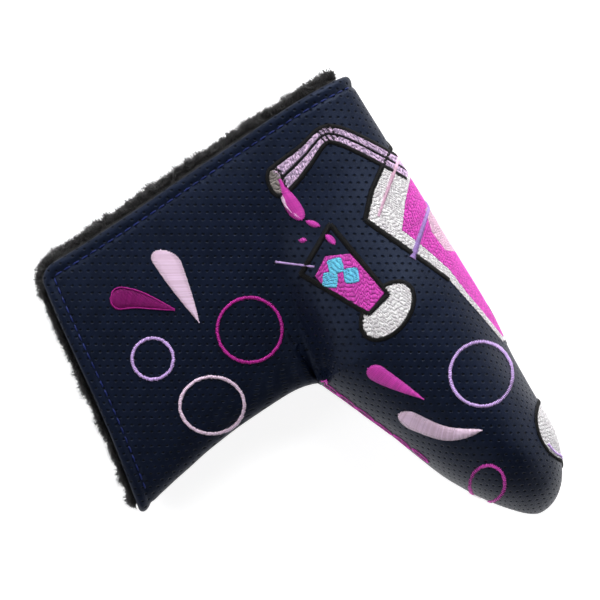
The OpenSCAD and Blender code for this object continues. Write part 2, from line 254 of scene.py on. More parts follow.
class Panel:
    """A sheet over the front or the back, as two grids: the heel with the neck, and the pocket's rest.

    edge and end are how far inside the heel edge and the neck's end the grid stops, and rounds is
    how fine its turned sides are.
    """

    def __init__(self, front, inset, edge, end, step, rounds, fine):
        self.front, self.inset, self.edge, self.end = front, inset, edge, end
        elbow_x, elbow_y = POCKET_W - inset, ELBOW_Y - inset
        turned = turned_stops(rounds)
        left = stops(elbow_x - inset, step, turned, turned) / (elbow_x - inset)
        heel = self.heel_grid(left, elbow_x, elbow_y, step, turned, open_stops(fine))
        pocket = self.pocket_grid(left, elbow_y, step)
        tip = np.array([[TOE_X, SOLE_LEN - inset, SEAM_Z]])
        self.points = np.concatenate([heel.reshape(-1, 3), pocket.reshape(-1, 3), tip])
        count = heel[..., 0].size
        self.n_left, self.n_heel = len(left), heel.shape[1]
        self.heel_ids = np.arange(count).reshape(heel.shape[:2])
        ids = count + np.arange(pocket[..., 0].size).reshape(pocket.shape[:2])
        self.pocket_ids = np.vstack([self.heel_ids[-1:, : self.n_left], ids])
        self.faces = grid_quads(self.heel_ids, not front) + grid_quads(self.pocket_ids, not front)
        last, top = self.pocket_ids[-1].tolist(), len(self.points) - 1
        for a, b in zip(last[:-1], last[1:]):
            self.faces.append((a, b, top) if front else (b, a, top))
        self.normals = vertex_normals(self.points, self.faces)
        self.sheet_uv()

    def heel_grid(self, left, elbow_x, elbow_y, step, turned, near_open):
        """From the heel edge to the elbow, and out along the neck."""
        right = stops(HEEL_LEN - elbow_x, step, end=near_open) / (HEEL_LEN - elbow_x)
        rows = stops(elbow_y, step, near_open, turned) / elbow_y
        f, g = np.meshgrid(rows, np.concatenate([left, 1 + right[1:]]), indexing="ij")
        x = self.inset + (elbow_x - self.inset) * np.clip(g, 0, 1)
        for _ in range(3):  # the open end slants, so x depends a little on y
            start = heel_line(x) + self.edge
            y = start + f * (neck_side(x) - self.inset - start)
            last = neck_end(y) - self.end / math.cos(SLANT)
            low = sole_edge(y, self.inset)
            x = np.where(g > 1, elbow_x + (last - elbow_x) * (g - 1), low + (elbow_x - low) * g)
        x, y = self.round_corner(x, y)
        return np.stack([x, y, height(x, y, self.inset, self.front)], -1)

    def pocket_grid(self, left, elbow_y, step):
        """From the elbow to the toe."""
        down = stops(TOE_START - elbow_y, step)[1:] + elbow_y
        turn = np.radians(np.linspace(0, 86, int(TOE_RINGS / step))[1:])
        rows = np.concatenate([down, TOE_START + (SOLE_LEN - TOE_START - self.inset) * np.sin(turn)])
        y, share = np.meshgrid(rows, left, indexing="ij")
        low, high = sole_edge(y, self.inset), inner_edge(y, self.inset)
        x = low + (high - low) * share
        return np.stack([x, y, height(x, y, self.inset, self.front)], -1)

    def round_corner(self, x, y):
        """Pulls the free corner's points in to a round corner."""
        r = max(CORNER_R - self.edge, 0.5)
        line = heel_line(x) + self.edge
        a, b = y - line, (neck_end(y) - x) * math.cos(SLANT) - self.end
        near = (a < r) & (b < r)
        u, v = np.clip((r - a) / r, 0, 1), np.clip((r - b) / r, 0, 1)
        a2, b2 = r - r * u * np.sqrt(1 - v * v / 2), r - r * v * np.sqrt(1 - u * u / 2)
        y2 = np.where(near, a2 + line, y)
        x2 = np.where(near, neck_end(y2) - (b2 + self.end) / math.cos(SLANT), x)
        return x2, y2

    def sheet_uv(self):
        """Flat coordinates of the sheet in mm: plan, plus what its turned-down sides add."""
        pts, n = self.points, self.n_left
        uv = pts[:, :2].copy()
        for ids, is_pocket in ((self.heel_ids, False), (self.pocket_ids, True)):
            p = pts[ids]
            step = lengths(p, 1)
            ref = int(np.argmin(np.abs(pts[self.heel_ids[0]][:, 0] - FLAT_X)))
            back = np.cumsum(step[:, :ref][:, ::-1], axis=1)[:, ::-1]
            uv[ids[:, :ref], 0] = p[:, ref, 0][:, None] - back
            start = int(n * FLAT_FROM)
            run = p[:, start + 1 : n, 0] - p[:, start, 0][:, None]
            extra = np.cumsum(step[:, start : n - 1], axis=1) - run
            weight = 1.0 if is_pocket else ease((p[:, start + 1 : n, 1] - 66) / (ELBOW_Y - 66))
            uv[ids[:, start + 1 : n], 0] += extra * weight
            if not is_pocket:
                fade = 1 - ease((p[:, n:, 0] - POCKET_W) / 50)
                uv[ids[:, n:], 0] += (extra * weight)[:, -1][:, None] * fade
        p = pts[self.heel_ids]
        start = int(len(p) * FLAT_FROM)
        extra = np.cumsum(lengths(p, 0)[start:], axis=0) - (p[start + 1 :, :, 1] - p[start, :, 1])
        lean = ease((p[start + 1 :, :, 0] - 46) / 10)
        uv[self.heel_ids[start + 1 :], 1] += extra * lean
        p = pts[self.pocket_ids]
        fade = 1 - ease((p[1:, :, 1] - ELBOW_Y) / 16)
        uv[self.pocket_ids[1:], 1] += (extra * lean)[-1, :n] * fade
        first = int(np.argmin(np.abs(p[:, 0, 1] - TOE_START)))
        past = p[first + 1 :, :, 1]
        extra = np.cumsum(lengths(p, 0)[first:], axis=0) - (past - p[first, :, 1])
        uv[self.pocket_ids[first + 1 :], 1] += extra * ease((past - TOE_START) / 12)
        uv[-1] = uv[self.pocket_ids[-1]].mean(0) + [0, 1.5]
        if not self.front:
            uv[:, 0] = BACK_FLAT - uv[:, 0]
        self.uv = uv

    def move(self, amount):
        """Moves every point along its normal, in mm, and keeps the back off the surface below."""
        self.points = self.points + self.normals * np.asarray(amount)[:, None]
        self.points[:, 2] = np.maximum(self.points[:, 2], self.inset)
        self.normals = vertex_normals(self.points, self.faces)

    def chain(self):
        """The open edge: along the heel edge, round the corner and down the neck's end."""
        return np.concatenate([self.heel_ids[0], self.heel_ids[1:, -1]])

    def outward(self):
        """Places, normals and ways out along the open edge, and the ways out on the flat sheet."""
        ids = self.chain()
        p, n = self.points[ids], self.normals[ids]
        along = np.gradient(p, axis=0)
        sign = 1 if self.front else -1
        flat = np.gradient(self.uv[ids], axis=0)
        flat_out = np.stack([flat[:, 1], -flat[:, 0]], -1)
        return p, n, unit(np.cross(along, n) * sign), unit(flat_out * sign)

    def add_rings(self, rings):
        """Continues the sheet past its open edge. Each ring is (points, flat coordinates)."""
        last = self.chain()
        for points, flat in rings:
            new = len(self.points) + np.arange(len(points))
            self.points = np.concatenate([self.points, points])
            self.uv = np.concatenate([self.uv, flat])
            self.faces += grid_quads(np.array([new, last]), flip=not self.front)
            last = new
        self.normals = vertex_normals(self.points, self.faces)


def flat_size(panel):
    """Width, length and area in metres of the sheet laid flat, from its developed outline."""
    uv = panel.uv
    area = 0.0
    for f in panel.faces:
        corners = uv[list(f)]
        nxt = np.roll(corners, -1, axis=0)
        area += abs((corners[:, 0] * nxt[:, 1] - nxt[:, 0] * corners[:, 1]).sum()) / 2
    width, length = uv.max(0) - uv.min(0)
    return (width * MM, length * MM), area * MM * MM


def declare(piece, panel):
    size, area = flat_size(panel)


def make_object(name, points, faces, material, uv=None, tone=None):
    mesh = bpy.data.meshes.new(name)
    mesh.from_pydata(to_row(points).tolist(), [], faces)
    mesh.materials.append(material)
    mesh.polygons.foreach_set("use_smooth", [True] * len(mesh.polygons))
    if uv is not None:
        corner = np.zeros(len(mesh.loops), np.int32)
        mesh.loops.foreach_get("vertex_index", corner)
        layer = mesh.uv_layers.new(name="flat_mm")
        layer.data.foreach_set("uv", uv[corner].astype(np.float32).ravel())
    if tone is not None:
        attribute = mesh.attributes.new("tone", "FLOAT", "POINT")
        attribute.data.foreach_set("value", np.asarray(tone, np.float32))
    mesh.update()
    obj = bpy.data.objects.new(name, mesh)
    bpy.context.scene.collection.objects.link(obj)
    return obj


def thicken(obj, thickness):
    """Gives a sheet its thickness, inwards."""
    mod = obj.modifiers.new("thickness", "SOLIDIFY")
    mod.thickness = thickness * MM
    mod.offset = -1.0
    mod.use_rim = True
    apply_modifier(obj, mod)


def apply_modifier(obj, mod):
    bpy.context.view_layer.objects.active = obj
    with bpy.context.temp_override(object=obj, active_object=obj, selected_objects=[obj]):
        bpy.ops.object.modifier_apply(modifier=mod.name)


def cut_round(obj, node, room, depth):
    """Cuts a round hole for a CAD piece, with some room round it."""
    low, high = (np.array(corner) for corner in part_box(node))
    radius = (high - low)[:2].max() / 2 + room * MM
    place = tuple((low + high) / 2)
    bpy.ops.mesh.primitive_cylinder_add(vertices=48, radius=radius, depth=depth * MM, location=place)
    cutter = bpy.context.object
    mod = obj.modifiers.new("hole", "BOOLEAN")
    mod.operation = "DIFFERENCE"
    mod.object = cutter
    apply_modifier(obj, mod)
    bpy.data.objects.remove(cutter)


# ---- the flap's fold line ----

FOLD_ANGLE = math.atan(FOLD_END / (NECK_REACH - FOLD_START))
FOLD_NORMAL = np.array([-math.sin(FOLD_ANGLE), math.cos(FOLD_ANGLE), 0.0])
FOLD_POINT = np.array([FOLD_START, 0.0, SEAM_Z])


def bend(obj):
    """Works out the ends of the flap's fold line, and bakes the piece's transform into its mesh."""
    start, end = FOLD_POINT + FOLD_NORMAL * BLEND, FOLD_POINT - FOLD_NORMAL * BLEND
    tuple(to_row(start))
    tuple(to_row(end))
    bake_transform(obj)


# ---- materials ----


class Nodes:
    """A short way to wire a node tree."""

    def __init__(self, name):
        self.material = bpy.data.materials.new(name)
        self.material.use_nodes = True
        self.tree = self.material.node_tree
        self.shader = self.tree.nodes["Principled BSDF"]

    def add(self, kind, inputs=None, **settings):
        node = self.tree.nodes.new(kind)
        for key, value in settings.items():
            setattr(node, key, value)
        for key, value in (inputs or {}).items():
            if isinstance(value, bpy.types.NodeSocket):
                self.tree.links.new(value, node.inputs[key])
            else:
                node.inputs[key].default_value = value
        return node

    def math(self, operation, a, b=0.0):
        return self.add("ShaderNodeMath", {0: a, 1: b}, operation=operation).outputs[0]

    def plus(self, a, b):
        return self.math("ADD", a, b)

    def times(self, a, b):
        return self.math("MULTIPLY", a, b)

    def ramp(self, value, low, high, to_low=0.0, to_high=1.0):
        inputs = {"Value": value, "From Min": low, "From Max": high, "To Min": to_low, "To Max": to_high}
        node = self.add("ShaderNodeMapRange", inputs, interpolation_type="SMOOTHSTEP")
        return node.outputs["Result"]

    def mix(self, factor, a, b):
        a, b = (c if isinstance(c, bpy.types.NodeSocket) else (*c, 1) for c in (a, b))
        return self.add("ShaderNodeMix", {"Factor": factor, 6: a, 7: b}, data_type="RGBA").outputs[2]

    def noise(self, scale, detail=3.0):
        return self.add("ShaderNodeTexNoise", {"Scale": scale, "Detail": detail}).outputs["Fac"]

    def tone(self):
        """The lightness that each point of a thread or tuft carries."""
        return self.add("ShaderNodeAttribute", attribute_name="tone").outputs["Fac"]

    def bump(self, height_value, distance, strength=1.0, normal=None):
        inputs = {"Height": height_value, "Distance": distance, "Strength": strength}
        if normal is not None:
            inputs["Normal"] = normal
        return self.add("ShaderNodeBump", inputs).outputs["Normal"]

    def link(self, value, socket):
        self.tree.links.new(value, self.shader.inputs[socket])

    def set(self, **values):
        for key, value in values.items():
            self.shader.inputs[key.replace("_", " ")].default_value = value


def srgb(r, g, b):
    """sRGB 0-255 to linear."""
    c = np.array([r, g, b]) / 255
    return tuple(np.where(c <= 0.04045, c / 12.92, ((c + 0.055) / 1.055) ** 2.4))


HOLE_PITCH = 2.47
HOLE_ROWS = 2.28
ROW_DIRECTION = (-0.853, 0.522)


def perforated_material():
    """Navy sheet with staggered rows of small holes, fine grain and a soft sheen."""
    n = Nodes("navy_sheet")
    place = n.add("ShaderNodeUVMap", uv_map="flat_mm").outputs["UV"]
    split = n.add("ShaderNodeSeparateXYZ", {"Vector": place})
    u, v = split.outputs["X"], split.outputs["Y"]
    dx, dy = ROW_DIRECTION
    along = n.plus(n.times(u, dx / HOLE_PITCH), n.times(v, dy / HOLE_PITCH))
    across = n.plus(n.times(u, dy / HOLE_ROWS), n.times(v, -dx / HOLE_ROWS))
    shift = n.times(n.math("FLOORED_MODULO", n.math("FLOOR", across), 2.0), 0.5)
    fx = n.math("SUBTRACT", n.math("FRACT", n.plus(along, shift)), 0.5)
    fy = n.math("SUBTRACT", n.math("FRACT", across), 0.5)
    fx, fy = n.times(fx, HOLE_PITCH * 0.86), n.times(fy, HOLE_ROWS * 1.15)
    far = n.math("SQRT", n.plus(n.times(fx, fx), n.times(fy, fy)))
    hole = n.ramp(far, 0.24, 0.46, 1.0, 0.0)
    pit = n.ramp(far, 0.18, 0.60, 1.0, 0.0)
    cloudy = n.noise(28.0, 3.0)
    body = n.mix(n.ramp(cloudy, 0.3, 0.7), srgb(11, 17, 32), srgb(15, 22, 40))
    # The holes are painted near black: painted shade inside each hole. The same mask also makes them
    # rougher.
    n.link(n.mix(hole, body, srgb(1, 2, 4)), "Base Color")
    rough = n.ramp(n.noise(900.0, 2.0), 0.3, 0.7, 0.34, 0.43)
    n.link(n.plus(rough, n.times(hole, 0.4)), "Roughness")
    grain = n.noise(2600.0, 4.0)
    creased = n.add("ShaderNodeTexVoronoi", {"Scale": 1500.0}, feature="DISTANCE_TO_EDGE")
    fine = n.bump(n.plus(grain, n.times(creased.outputs["Distance"], 0.6)), 0.00006, 0.55)
    n.link(n.bump(n.math("SUBTRACT", 1.0, pit), 0.00030, 0.85, fine), "Normal")
    n.set(Specular_IOR_Level=0.16, Specular_Tint=(0.55, 0.68, 1.0, 1.0))
    return n.material


def thread_material(name, color, shine=0.12, dark=0.62, light=1.22, gloss=0.35):
    """Rayon embroidery thread: each stitch a little lighter or darker, with fine twist."""
    n = Nodes(name)
    base = np.array(srgb(*color))
    n.link(n.mix(n.tone(), base * dark, np.minimum(base * light + 0.01, 1)), "Base Color")
    n.link(n.bump(n.noise(5200.0, 2.0), 0.00005, 0.6), "Normal")
    n.set(Roughness=0.45, Specular_IOR_Level=gloss, Sheen_Weight=shine, Sheen_Roughness=0.4)
    return n.material


def plush_material(name, low, high):
    """Pile: painted shade at the root and a painted highlight at the tips, with curls."""
    n = Nodes(name)
    patch = n.ramp(n.noise(160.0, 4.0), 0.35, 0.65)
    light = n.times(n.tone(), n.plus(n.times(patch, 0.5), 0.5))
    n.link(n.mix(light, low, high), "Base Color")
    n.link(n.bump(n.noise(1400.0, 5.0), 0.0004, 0.9), "Normal")
    n.set(Roughness=0.9, Sheen_Weight=0.25, Sheen_Roughness=0.6, Specular_IOR_Level=0.2)
    return n.material


def foam_material():
    n = Nodes("foam")
    patch = n.ramp(n.noise(300.0, 4.0), 0.3, 0.7)
    n.link(n.mix(patch, srgb(128, 130, 135), srgb(150, 152, 157)), "Base Color")
    cells = n.add("ShaderNodeTexVoronoi", {"Scale": 1600.0}).outputs["Distance"]
    n.link(n.bump(cells, 0.0002, 0.8), "Normal")
    n.set(Roughness=0.92)
    return n.material


def metal_material():
    n = Nodes("magnet_plate")
    n.link(n.mix(n.noise(500.0, 3.0), srgb(168, 170, 175), srgb(200, 201, 205)), "Base Color")
    n.link(n.ramp(n.noise(1800.0, 2.0), 0.3, 0.7, 0.22, 0.38), "Roughness")
    n.link(n.bump(n.noise(3000.0, 2.0), 0.00002, 0.3), "Normal")
    n.set(Metallic=1.0)
    return n.material


def woven_material(name, color):
    n = Nodes(name)
    base = np.array(srgb(*color))
    waves = []
    for axis in ("X", "Y"):
        wave = n.add("ShaderNodeTexWave", {"Scale": 420.0, "Distortion": 1.0}, bands_direction=axis)
        waves.append(wave.outputs["Fac"])
    weave = n.math("MAXIMUM", waves[0], waves[1])
    n.link(n.mix(weave, base * 0.6, base * 1.2), "Base Color")
    n.link(n.bump(weave, 0.0001, 0.7), "Normal")
    n.set(Roughness=0.8, Sheen_Weight=0.1)
    return n.material


# Each thread's colour, and where it differs from the plain thread.
THREADS = {
    "magenta": dict(color=(218, 64, 188), shine=0.05),
    "dark_magenta": dict(color=(132, 4, 104), shine=0.0, gloss=0.2),
    "deep_magenta": dict(color=(178, 22, 142), shine=0.0),
    "pale_pink": dict(color=(252, 210, 234)),
    "soft_pink": dict(color=(222, 182, 206)),
    "lilac": dict(color=(200, 166, 228)),
    "dusky_lilac": dict(color=(166, 134, 200)),
    "straw": dict(color=(200, 172, 222), dark=0.42, light=1.75),
    "off_white": dict(color=(247, 240, 246)),
    "black": dict(color=(7, 7, 9), shine=0.0, gloss=0.15),
    "grey": dict(color=(150, 142, 138)),
    "cyan": dict(color=(108, 208, 255), dark=0.85, light=1.3),
    "blue": dict(color=(14, 32, 96), shine=0.0, gloss=0.2),
}

MATERIALS = {name: thread_material(name + "_thread", **look) for name, look in THREADS.items()}
MATERIALS.update(
    navy=perforated_material(),
    plush=plush_material("plush_pile", srgb(5, 5, 6), srgb(150, 144, 150)),
    lining=plush_material("plush_cloth", srgb(9, 9, 10), srgb(74, 70, 73)),
    foam=foam_material(),
    magnet=metal_material(),
    pouch=woven_material("pouch_cloth", (52, 52, 56)),
    seam=woven_material("seam_tape", (26, 32, 48)),
)

# ---- outer panels ----


def smooth_noise(points, size, seed):
    shift = Vector((seed * 13.7, seed * 5.1, seed * 9.3))
    return np.array([noise.noise(Vector(p) / size + shift) for p in points])


CREASES = ((-111, 1.3, 2.6, 32), (-128, 0.7, 2.2, 24), (-88, 0.6, 2.4, 20))  # angle, depth, width, reach


def creases(panel):
    """Folds that run from the elbow into the front, and fade."""
    depth_here = np.zeros(len(panel.points))
    if panel.front:
        rel = panel.points[:, :2] - np.array([POCKET_W - 1, ELBOW_Y])
        for angle, depth, width, reach in CREASES:
            way = np.array([math.cos(math.radians(angle)), math.sin(math.radians(angle))])
            run, off = rel @ way, rel @ np.array([-way[1], way[0]])
            depth_here -= depth * np.exp(-((off / width) ** 2)) * ease(run / 4) * ease(1 - run / reach)
    return depth_here


def sculpt(panel):
    """Gives a plain panel its soft swells, the elbow's creases and the stitched hem."""
    p = panel.points
    x, y = p[:, 0], p[:, 1]
    d = open_distance(x, y)
    along = np.where((neck_end(y) - x) < y, y, x)
    swell = 0.55 * smooth_noise(p, 26, 1) + 0.22 * smooth_noise(p, 9, 2)
    swell *= ease(np.minimum(d, 12) / 12)
    groove = -0.42 * np.exp(-(((d - STITCH_INSET) / 0.75) ** 2))
    puff = 0.28 * np.exp(-(((d - 1.9) / 1.1) ** 2))
    pull = np.cos(2 * math.pi * along / STITCH_PITCH)
    pucker = -0.10 * pull * np.exp(-(((d - STITCH_INSET) / 1.3) ** 2))
    wander = 0.35 * smooth_noise(np.stack([along, d * 0.5, 0 * d], -1), 7, 3) * np.exp(-((d / 5) ** 2))
    panel.move(swell + groove + puff + pucker + wander + creases(panel))


def roll_hem(panel):
    """Turns the sheet round its open edge and back inside."""
    p, n, out, flat = panel.outward()
    start = panel.uv[panel.chain()]
    rings = []
    for angle in np.radians(np.arange(20, 181, 20)):
        place = p + out * ROLL_R * math.sin(angle) + n * ROLL_R * (math.cos(angle) - 1)
        rings.append((place, start + flat * ROLL_R * angle))
    for depth in (1.5, 3.0, 4.5):
        place = p - out * depth - n * 2 * ROLL_R
        rings.append((place, start + flat * (ROLL_R * math.pi + depth)))
    for place, _ in rings:
        place[:, 2] = np.maximum(place[:, 2], 0.0)
    panel.add_rings(rings)


def outer_panel(side, *nodes):
    """The perforated sheet of one side, its grid, and its surface before the hem is rolled."""
    panel = Panel(side == "front", 0.0, ROLL_R, ROLL_R, PANEL_STEP, 20, 14)
    sculpt(panel)
    surface = (panel.points.copy(), panel.normals.copy(), panel.uv.copy(), list(panel.faces))
    roll_hem(panel)
    obj = make_object(side + "_panel", panel.points, panel.faces, MATERIALS["navy"], panel.uv)
    thicken(obj, SHEET_T)
    bend(obj)
    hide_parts(*nodes)
    return obj, panel, surface


front_panel, front_grid, front_skin = outer_panel(
    "front", "outer_pocket", "outer_front_flap", "hem_front_flap", "hem_corners"
)
back_panel, back_grid, back_skin = outer_panel("back", "outer_back_flap", "hem_back_flap")


# ---- foam and lining ----


def inner_panel(side, inset, edge, end, step):
    """The grid of a layer inside the sheet, with the sheet's creases."""
    panel = Panel(side == "front", inset, edge, end, step, 12, 8)
    near_elbow = np.hypot(panel.points[:, 0] - POCKET_W, panel.points[:, 1] - ELBOW_Y)
    panel.move(1.15 * creases(panel) - 0.9 * np.exp(-((near_elbow / 12) ** 2)))
    return panel


def foam_layer(side):
    panel = inner_panel(side, FOAM_IN, FOAM_EDGE, FOAM_EDGE, FOAM_STEP)
    obj = make_object("foam_" + side, panel.points, panel.faces, MATERIALS["foam"], panel.uv)
    thicken(obj, FOAM_T)
    cut_round(obj, "magnet_pouch_" + side, room=0.4, depth=12)
    bend(obj)
    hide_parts(f"foam_{side}_pocket", f"foam_{side}_flap")
    return obj


def curl(obj, panel, amount):
    """Moves the inner face of a thickened layer, to give the plush its short curled pile."""
    count = len(panel.points)
    places = np.zeros(3 * len(obj.data.vertices))
    obj.data.vertices.foreach_get("co", places)
    places = places.reshape(-1, 3)
    places[count : 2 * count] -= panel.normals * amount[:, None] * MM
    obj.data.vertices.foreach_set("co", places.ravel())
    obj.data.update()


def lining_layer(side, *nodes):
    panel = inner_panel(side, LINING_IN, -LIP_HEEL, -LIP_END, PLUSH_STEP)
    locks = 0.9 * smooth_noise(panel.points, 2.6, 21) + 0.6 * smooth_noise(panel.points, 1.4, 22)
    # The lining is painted lighter where curl() raises its pile and darker where the pile sinks: painted
    # light and shade on the locks.
    tone = np.clip(0.2 + 0.6 * locks, 0.03, 0.8)
    obj = make_object("lining_" + side, panel.points, panel.faces, MATERIALS["lining"], panel.uv, tone)
    thicken(obj, LINING_T)
    curl(obj, panel, locks)
    bend(obj)
    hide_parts(*nodes)
    return obj, panel


foam_front = foam_layer("front")
foam_back = foam_layer("back")
lining_front, lining_front_grid = lining_layer("front", "lining_pocket", "lining_front_flap")
lining_back, lining_back_grid = lining_layer("back", "lining_back_flap")


TUFTS = 11000
TUFT_INSIDE = 4.5  # how far in from the lip the inner face has tufts


def pile(name, grid, count):
    """Short tapered tufts over the lip of the lining, leaning outwards."""
    p, n, out, _ = grid.outward()
    run = run_along(p)
    at = rng.uniform(0, run[-1], count)
    k = np.clip(np.searchsorted(run, at) - 1, 0, len(run) - 2)
    t = ((at - run[k]) / (run[k + 1] - run[k]))[:, None]
    base, up, away = (a[k] * (1 - t) + a[k + 1] * t for a in (p, n, out))
    on_edge = rng.random(count)[:, None] < 0.45
    on_top = rng.random(count)[:, None] < 0.6
    on_heel = (k < grid.n_heel - 1)[:, None]
    reach = np.where(on_top, np.where(on_heel, LIP_HEEL, LIP_END), TUFT_INSIDE)
    across = np.where(on_edge, rng.uniform(-0.4, 0.3, (count, 1)), -reach * rng.random((count, 1)) + 0.2)
    deep = np.where(on_edge, rng.uniform(-LINING_T, 0, (count, 1)), np.where(on_top, 0, -LINING_T))
    root = base + away * across + up * deep
    face = np.where(on_edge, 0.0, np.where(on_top, 1.0, -1.0))
    twist = np.stack([smooth_noise(root, 2.2, seed) for seed in (11, 12)], -1)
    way = away * 0.9 + up * face * 0.55 + np.cross(up, away) * twist[:, :1] * 1.6 + up * twist[:, 1:]
    way = unit(way + rng.normal(0, 0.28, (count, 3)))
    clump = 1 + 0.9 * smooth_noise(root, 4.5, 14)
    long = (rng.uniform(0.8, 2.2, count) * clump)[:, None]
    thick = rng.uniform(0.09, 0.18, count)[:, None]
    # Tufts on the lining's faces, off its edge, are painted darker: painted shade under the hem and inside
    # the cover.
    light = rng.uniform(0.05, 1.0, count) ** 2 * np.where(on_edge, 1.0, 0.35)[:, 0]
    return tuft_mesh(name, root, way, long, thick, up, light)


def tuft_mesh(name, root, way, long, thick, up, light):
    """Each tuft is three rings of three points, hooked over, and a tip."""
    count = len(root)
    side = unit(np.cross(way, up))
    other = np.cross(way, side)
    hook = (side * rng.normal(0, 0.35, (count, 1)) + other * rng.normal(0, 0.35, (count, 1))) * long
    verts, tones = [], []
    # Tone rises from root to tip: painted shade deep in the pile and a painted highlight on the tips.
    for share, width in ((-0.25, 1.0), (0.45, 0.85), (0.8, 0.55)):
        centre = root + way * long * share + hook * max(share, 0) ** 2
        for a in np.radians((0, 120, 240)):
            verts.append(centre + (side * math.cos(a) + other * math.sin(a)) * thick * width)
            tones.append(max(share, 0) * light)
    points = np.stack([*verts, root + way * long + hook], 1).reshape(-1, 3)
    tone = np.stack([*tones, light], 1).reshape(-1)
    faces = []
    for o in range(0, 10 * count, 10):
        for c, d in ((0, 1), (1, 2), (2, 0)):
            faces += [(o + r + c, o + r + d, o + r + 3 + d, o + r + 3 + c) for r in (0, 3)]
            faces.append((o + 6 + c, o + 6 + d, o + 9))
        faces.append((o + 2, o + 1, o))
    points[:, 2] = np.maximum(points[:, 2], 0.05)
    return make_object(name, points, faces, MATERIALS["plush"], tone=tone)


for side_name, lip_grid in (("front", lining_front_grid), ("back", lining_back_grid)):
    tufts = pile("pile_" + side_name, lip_grid, TUFTS)
    bend(tufts)

# ---- laying thread on the sheet ----


class Skin:
    """Finds places on the outside from the sheet's flat coordinates, round the sole fold too."""

    def __init__(self):
        points, normals, uv, faces = front_skin
        b_points, b_normals = back_skin[:2]
        wrap = int(np.argmin(np.abs(b_points[back_grid.heel_ids[0]][:, 0] - 24)))
        offset = len(points)
        b_uv = np.zeros((len(b_points), 2))
        faces = list(faces)
        for ids, f_ids in (
            (back_grid.heel_ids, front_grid.heel_ids),
            (back_grid.pocket_ids, front_grid.pocket_ids),
        ):
            ids = ids[:, : wrap + 1]
            b_uv[ids] = uv[f_ids[:, 0]][:, None]
            b_uv[ids[:, 1:], 0] -= np.cumsum(lengths(b_points[ids], 1), axis=1)
            faces += grid_quads(ids + offset, flip=True)
        self.points = np.concatenate([points, b_points])
        self.normals = np.concatenate([normals, b_normals])
        self.uv = np.concatenate([uv, b_uv])
        tris = []
        for f in faces:
            tris.append((f[0], f[1], f[2]))
            if len(f) == 4:
                tris.append((f[0], f[2], f[3]))
        self.tris = np.array(tris)
        flat = np.column_stack([self.uv, np.zeros(len(self.uv))])
        self.by_uv = BVHTree.FromPolygons(flat.tolist(), self.tris.tolist())
        self.top = self.tris[self.tris.max(1) < offset]
        self.by_plan = BVHTree.FromPolygons(self.points.tolist(), self.top.tolist())

    @staticmethod
    def shares(p, a, b, c):
        """How much of each corner of a triangle makes up a point in it."""
        v0, v1, v2 = b - a, c - a, p - a
        d00, d01, d11 = (v0 * v0).sum(1), (v0 * v1).sum(1), (v1 * v1).sum(1)
        d20, d21 = (v2 * v0).sum(1), (v2 * v1).sum(1)
        area = np.maximum(d00 * d11 - d01 * d01, 1e-12)
        v, w = (d11 * d20 - d01 * d21) / area, (d00 * d21 - d01 * d20) / area
        return np.stack([1 - v - w, v, w], -1)

    def at(self, uv):
        """Points and normals on the outside at flat coordinates."""
        uv = np.asarray(uv, float).reshape(-1, 2)
        hits = [self.by_uv.find_nearest((u, v, 0.0)) for u, v in uv]
        tri = self.tris[[h[2] for h in hits]]
        share = np.clip(self.shares(uv, *(self.uv[tri[:, k]] for k in range(3))), 0, 1)
        share /= share.sum(1, keepdims=True)
        place = (self.points[tri] * share[:, :, None]).sum(1)
        return place, unit((self.normals[tri] * share[:, :, None]).sum(1))

    def flat(self, plan):
        """Flat coordinates of what is seen at a place in plan. Past the sole fold they run on."""
        plan = np.asarray(plan, float).reshape(-1, 2)
        out = np.zeros_like(plan)
        for i, (x, y) in enumerate(plan):
            inside = max(x, float(sole_edge(np.array(y))) + 0.02)
            hit = self.by_plan.ray_cast(Vector((inside, y, 100)), Vector((0, 0, -1)))
            if hit[2] is None:
                hit = self.by_plan.find_nearest(Vector((inside, y, SEAM_Z)))
            tri = self.top[hit[2]]
            p = np.array(hit[0])[None]
            share = self.shares(p, *(self.points[tri[k]][None] for k in range(3)))
            out[i] = (self.uv[tri] * share[0][:, None]).sum(0)
            out[i, 0] -= max(0.0, inside - x)
        return out


skin = Skin()


def dense(points, step=0.8, closed=False):
    """More points along a line of straight stretches."""
    points = [np.array(p, float) for p in points]
    if closed:
        points = points + [points[0]]
    out = []
    for a, b in zip(points[:-1], points[1:]):
        n = max(1, int(np.linalg.norm(b - a) / step))
        out += [a + (b - a) * k / n for k in range(n)]
    return np.array(out if closed else out + [points[-1]])


def curve(points, n=40):
    """A smooth line through points (Catmull-Rom)."""
    p = np.array([points[0], *points, points[-1]], float)
    out = []
    for i in range(1, len(p) - 2):
        for t in np.linspace(0, 1, n, endpoint=False):
            a, b, c, d = p[i - 1 : i + 3]
            square, cube = 2 * a - 5 * b + 4 * c - d, 3 * b - a - 3 * c + d
            out.append(0.5 * (2 * b + (c - a) * t + square * t**2 + cube * t**3))
    return np.array(out + [p[-2]])


def resample(line, step):
    """Even places along a line, and each one's direction."""
    run = run_along(line)
    at = np.linspace(0, run[-1], max(2, int(run[-1] / step)))
    out = np.stack([np.interp(at, run, line[:, k]) for k in range(2)], -1)
    return out, unit(np.gradient(out, axis=0)), at / run[-1]


def across_of(way):
    return np.stack([-way[:, 1], way[:, 0]], -1)


STITCH_SHOULDER = 0.62  # how high a stitch's sides are, as a share of its ridge
STITCH_PLACES = 5
STITCH_LEAST = 0.15


